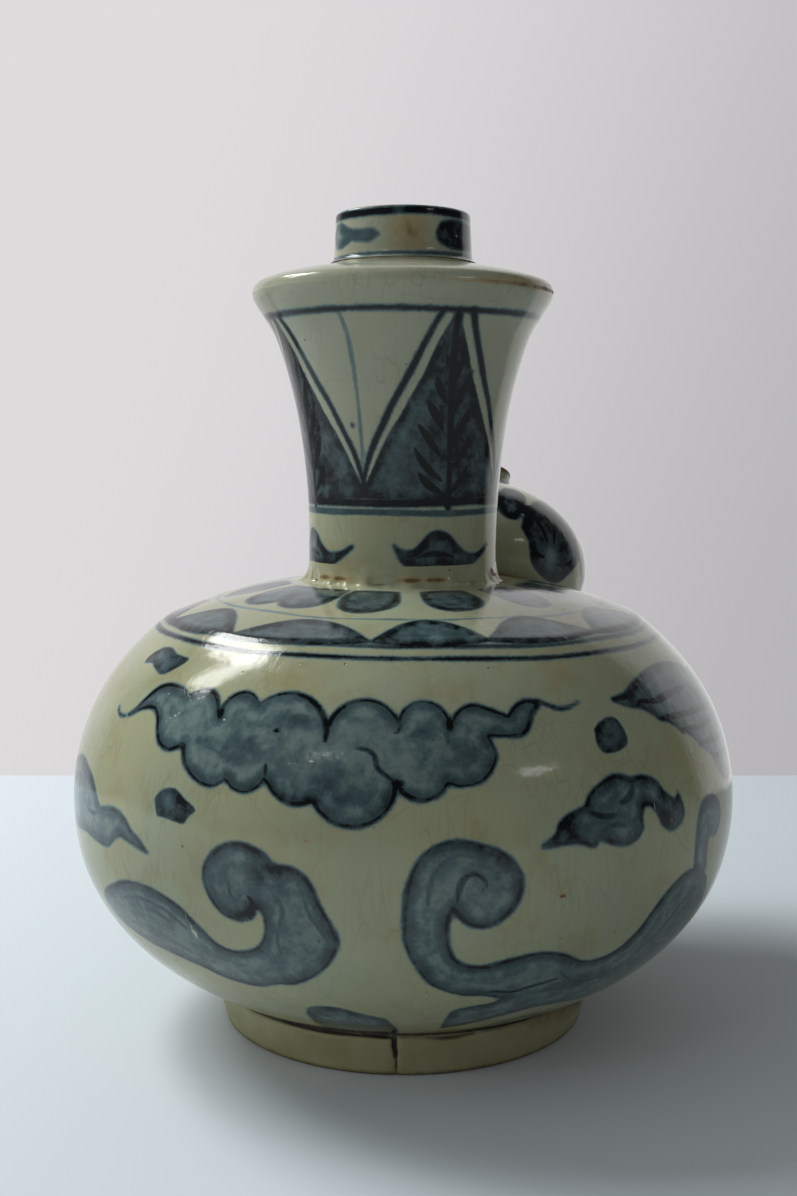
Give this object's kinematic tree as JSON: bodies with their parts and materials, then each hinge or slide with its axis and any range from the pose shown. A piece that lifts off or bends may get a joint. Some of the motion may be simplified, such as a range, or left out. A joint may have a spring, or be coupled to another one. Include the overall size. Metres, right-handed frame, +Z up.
{
  "type": "kendi",
  "caption": "Glazed kendi, a drinking flask without a handle: round body on a foot ring, flaring neck with a flanged mouth, and a bulbous spout with a short nozzle on the shoulder.",
  "frame": {"origin": "on the body's axis, in the plane of the foot ring's resting face", "axes": "+Z up along the axis of body and neck, +X towards the spout"},
  "size_m": [0.1744, 0.157, 0.1907],
  "materials": {
    "glaze": "gloss",
    "foot_clay": "satin",
    "slip": "satin"
  },
  "bodies": {
    "root": {"foot_ring": "foot_clay", "foot_slip": "slip", "lower_body": "glaze", "belly_slip": "slip", "upper_body": "glaze", "neck_slip": "slip", "neck": "glaze", "flange_slip": "slip", "flange_cap": "glaze", "collar_slip": "slip", "mouth_collar": "glaze", "spout_slip": "slip", "spout_bulb": "glaze", "nozzle_slip": "slip", "spout_nozzle": "glaze"}
  },
  "joints": []
}
